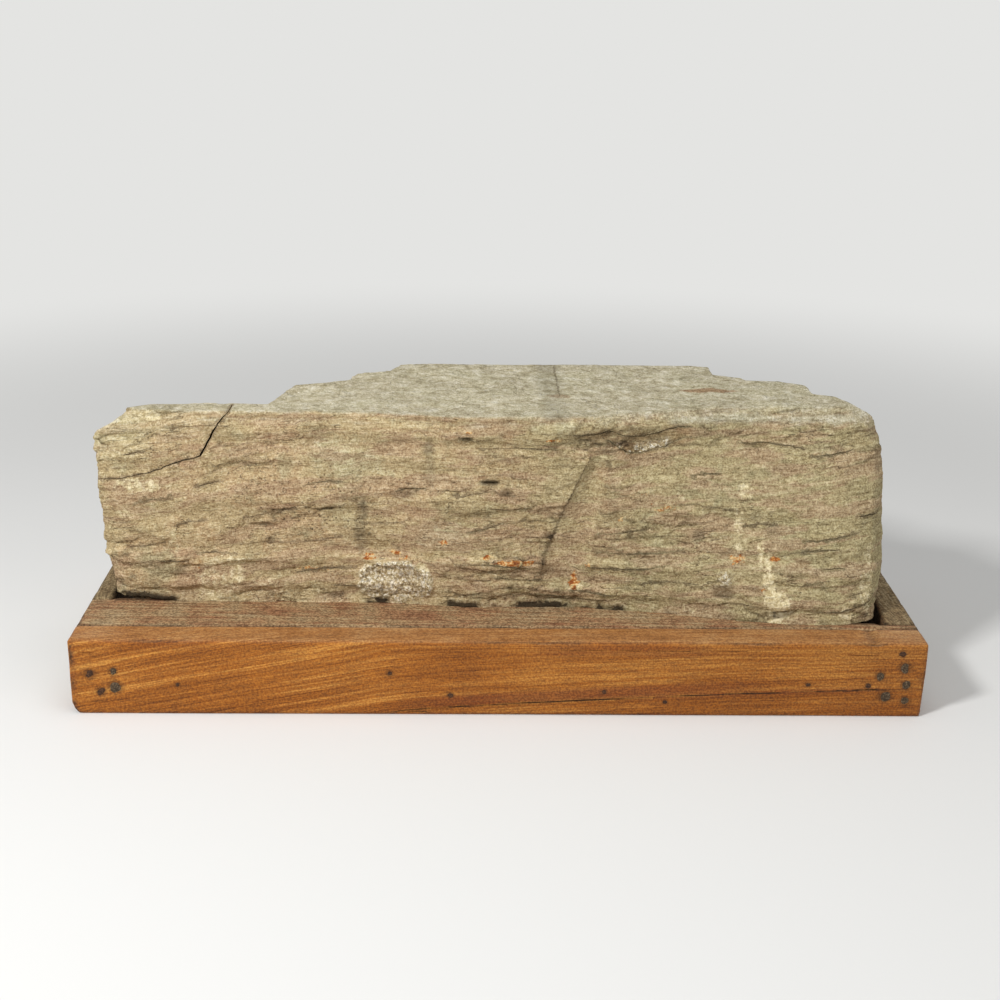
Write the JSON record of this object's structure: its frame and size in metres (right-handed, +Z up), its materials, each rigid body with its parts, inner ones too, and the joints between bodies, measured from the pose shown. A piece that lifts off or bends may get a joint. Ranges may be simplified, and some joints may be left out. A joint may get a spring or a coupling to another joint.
{
  "type": "stone corbel",
  "caption": "Rough split corbel block of laminated buff stone, cracked across one corner, standing in a low nailed hardwood frame base.",
  "frame": {"origin": "centre of the timber frame's footprint, on the ground", "axes": "+X along the block's length, +Z up, the long split face looks towards -Y"},
  "size_m": [0.9, 0.377, 0.301],
  "materials": {
    "stone": "rough weathered laminated stone, dusty, with lime, soot and rust-coloured stains",
    "front_wood": "oiled reddish hardwood, worn at the edges",
    "old_wood": "weathered grey-brown hardwood",
    "nail": "rusted dark iron"
  },
  "bodies": {
    "root": {"stone": "stone", "front_board": "front_wood", "packing_strip": "old_wood", "left_board": "old_wood", "right_board": "old_wood", "back_board": "front_wood", "left_nail_1": "nail", "left_nail_2": "nail", "left_nail_3": "nail", "left_nail_4": "nail", "right_nail_1": "nail", "right_nail_2": "nail", "right_nail_3": "nail", "right_nail_4": "nail", "right_short_nail_1": "nail", "right_short_nail_2": "nail", "brad_1": "nail", "brad_2": "nail", "brad_3": "nail", "brad_4": "nail", "brad_5": "nail", "brad_6": "nail", "brad_7": "nail", "back_left_nail_1": "nail", "back_left_nail_2": "nail", "back_right_nail_1": "nail", "back_right_nail_2": "nail"}
  },
  "joints": []
}
